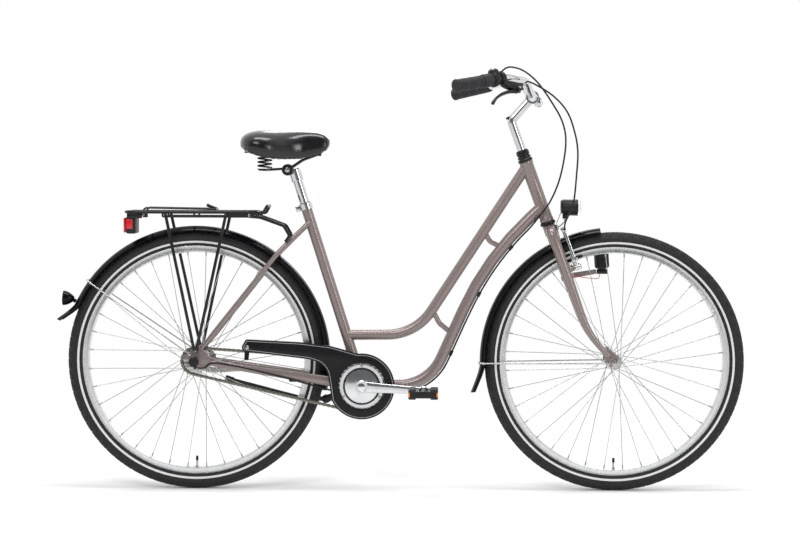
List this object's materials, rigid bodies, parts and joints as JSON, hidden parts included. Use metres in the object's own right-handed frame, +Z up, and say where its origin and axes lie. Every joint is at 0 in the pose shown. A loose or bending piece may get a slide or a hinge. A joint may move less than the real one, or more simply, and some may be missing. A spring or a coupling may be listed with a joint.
{
  "type": "city bike",
  "caption": "Step-through city bicycle with swan-neck twin tubes, swept bars, guarded chain, fenders, rear rack, lamps and a sprung saddle.",
  "frame": {"origin": "on the floor, under the middle of the box", "axes": "+X towards the front wheel, +Y towards the rider's left, +Z up"},
  "size_m": [1.8939, 0.6276, 1.1548],
  "materials": {
    "taupe_paint": "satin metallic taupe paint",
    "polished_aluminium": "polished aluminium and chrome",
    "rim_aluminium": "satin aluminium with a machined side wall",
    "plated_steel": "zinc plated and stainless steel",
    "chain_steel": "oiled chain steel",
    "black_metal": "satin black painted metal",
    "black_gloss": "gloss black plastic",
    "black_plastic": "moulded black plastic",
    "tyre_rubber": "black tyre rubber with a pale reflecting line",
    "grip_rubber": "soft dark grey rubber",
    "black_leatherette": "black leatherette over foam",
    "clear_lens": "clear moulded lens",
    "red_lens": "red reflecting lens",
    "cable_housing": "black cable housing"
  },
  "bodies": {
    "frame": {"frame": "taupe_paint", "headset_upper_cup": "black_metal", "headset_lower_cup": "black_metal", "seat_clamp": "polished_aluminium", "rear_axle": "black_plastic", "coaster_brake_arm": "plated_steel", "chain_guard": "black_metal", "chain": "chain_steel", "rear_fender": "black_gloss", "rear_fender_stay": "plated_steel", "rear_reflector": "black_gloss", "rack": "black_metal", "tail_lamp": "black_plastic", "tail_lamp_lens": "red_lens", "kickstand_mount": "black_metal", "gear_cable": "cable_housing"},
    "seat": {"seatpost": "polished_aluminium", "saddle_frame": "black_metal", "saddle_spring_left": "black_metal", "saddle_spring_right": "black_metal"},
    "saddle": {"saddle_pan": "black_plastic", "saddle_cushion": "black_leatherette"},
    "steering": {"fork": "taupe_paint", "headset_locknut": "black_metal", "stem": "polished_aluminium", "handlebar": "polished_aluminium", "grip_left": "grip_rubber", "grip_right": "grip_rubber", "shifter_housing": "black_plastic", "brake_lever_bracket": "polished_aluminium", "brake_cable": "cable_housing", "gear_cable_loop": "cable_housing", "front_fender": "black_gloss", "front_fender_stay": "plated_steel", "front_axle": "plated_steel", "headlamp_bracket": "plated_steel", "dynamo_bracket": "taupe_paint"},
    "shifter": {"shifter_twist": "grip_rubber"},
    "brake_lever": {"brake_lever": "black_metal"},
    "brake_arm_right": {"brake_arm_right": "polished_aluminium"},
    "brake_arm_left": {"brake_arm_left": "polished_aluminium"},
    "headlamp": {"headlamp": "black_plastic", "headlamp_lens": "clear_lens"},
    "dynamo": {"dynamo": "black_plastic"},
    "dynamo_roller": {"dynamo_roller": "plated_steel"},
    "front_wheel": {"front_tyre": "tyre_rubber", "front_rim": "rim_aluminium", "front_hub": "plated_steel"},
    "rear_wheel": {"rear_tyre": "tyre_rubber", "rear_rim": "rim_aluminium", "rear_hub": "plated_steel"},
    "sprocket": {"rear_sprocket": "plated_steel"},
    "crank": {"crank_right": "polished_aluminium", "crank_left": "polished_aluminium", "chainring": "plated_steel", "chainring_cover": "polished_aluminium"},
    "pedal_right": {"pedal_right": "black_plastic"},
    "pedal_left": {"pedal_left": "black_plastic"},
    "kickstand": {"kickstand": "black_metal"},
    "rack_bail": {"rack_bail": "black_metal"}
  },
  "joints": [
    {"name": "steering", "type": "hinge", "parent": "frame", "child": "steering", "pos_m": [0.39061, 0, 0.78107], "axis": [-0.342, 0, 0.9397], "range_deg": [-65, 65], "deforming": ["gear_cable_loop"]},
    {"name": "front_wheel_spin", "type": "hinge", "parent": "steering", "child": "front_wheel", "pos_m": [0.59108, 0, 0.356], "axis": [0, 1, 0], "continuous": true},
    {"name": "rear_wheel_spin", "type": "hinge", "parent": "frame", "child": "rear_wheel", "pos_m": [-0.55892, 0, 0.356], "axis": [0, 1, 0], "continuous": true},
    {"name": "crank_spin", "type": "hinge", "parent": "frame", "child": "crank", "pos_m": [-0.10167, 0, 0.289], "axis": [0, 1, 0], "continuous": true, "deforming": ["chain"]},
    {"name": "sprocket_spin", "type": "hinge", "parent": "frame", "child": "sprocket", "pos_m": [-0.55892, 0, 0.356], "axis": [0, 1, 0], "continuous": true},
    {"name": "pedal_right_spin", "type": "hinge", "parent": "crank", "child": "pedal_right", "pos_m": [0.06804, -0.07945, 0.27921], "axis": [0, 1, 0], "continuous": true},
    {"name": "pedal_left_spin", "type": "hinge", "parent": "crank", "child": "pedal_left", "pos_m": [-0.27139, 0.07945, 0.29879], "axis": [0, 1, 0], "continuous": true},
    {"name": "brake_lever_pull", "type": "hinge", "parent": "steering", "child": "brake_lever", "pos_m": [0.3179, -0.18368, 1.09529], "axis": [-0.5073, 0.703, -0.4985], "range_deg": [0, 11], "stiffness_Nm_per_rad": 1.5, "springref_deg": -8.59},
    {"name": "brake_arm_right_close", "type": "hinge", "parent": "steering", "child": "brake_arm_right", "pos_m": [0.48651, -0.043, 0.61698], "axis": [-0.9397, 0, -0.342], "range_deg": [0, 3]},
    {"name": "brake_arm_left_close", "type": "hinge", "parent": "steering", "child": "brake_arm_left", "pos_m": [0.48651, 0.043, 0.61698], "axis": [0.9397, 0, 0.342], "range_deg": [0, 3]},
    {"name": "shifter_turn", "type": "hinge", "parent": "steering", "child": "shifter", "pos_m": [0.23312, -0.23052, 1.11551], "axis": [0.7464, 0.6476, 0.1537], "range_deg": [-40, 40]},
    {"name": "headlamp_tilt", "type": "hinge", "parent": "steering", "child": "headlamp", "pos_m": [0.45305, 0, 0.74447], "axis": [0, 1, 0], "range_deg": [-12, 20]},
    {"name": "dynamo_swing", "type": "hinge", "parent": "steering", "child": "dynamo", "pos_m": [0.56108, 0.0625, 0.6005], "axis": [1, 0, 0], "range_deg": [0, 6]},
    {"name": "dynamo_roller_spin", "type": "hinge", "parent": "dynamo", "child": "dynamo_roller", "pos_m": [0.55509, 0.04558, 0.68068], "axis": [-0.085, -0.24, 0.967], "continuous": true},
    {"name": "kickstand_swing", "type": "hinge", "parent": "frame", "child": "kickstand", "pos_m": [-0.20467, 0, 0.2435], "axis": [0, -1, 0], "range_deg": [0, 110]},
    {"name": "rack_bail_lift", "type": "hinge", "parent": "frame", "child": "rack_bail", "pos_m": [-0.70892, 0, 0.755], "axis": [0, -1, 0], "range_deg": [0, 60], "stiffness_Nm_per_rad": 1.2, "springref_deg": -34.38},
    {"name": "seat_height", "type": "slide", "parent": "frame", "child": "seat", "axis": [-0.304, 0, 0.9527], "range_m": [-0.05, 0.09]},
    {"name": "saddle_flex", "type": "hinge", "parent": "seat", "child": "saddle", "pos_m": [-0.21897, 0, 0.92154], "axis": [0, -1, 0], "range_deg": [0, 4], "stiffness_Nm_per_rad": 3000, "springref_deg": -0.11, "deforming": ["saddle_spring_left", "saddle_spring_right"]}
  ],
  "couplings": [
    {"joint": "sprocket_spin", "follows": "crank_spin", "ratio": 2},
    {"joint": "brake_arm_right_close", "follows": "brake_lever_pull", "ratio": 0.25},
    {"joint": "brake_arm_left_close", "follows": "brake_lever_pull", "ratio": 0.25}
  ]
}
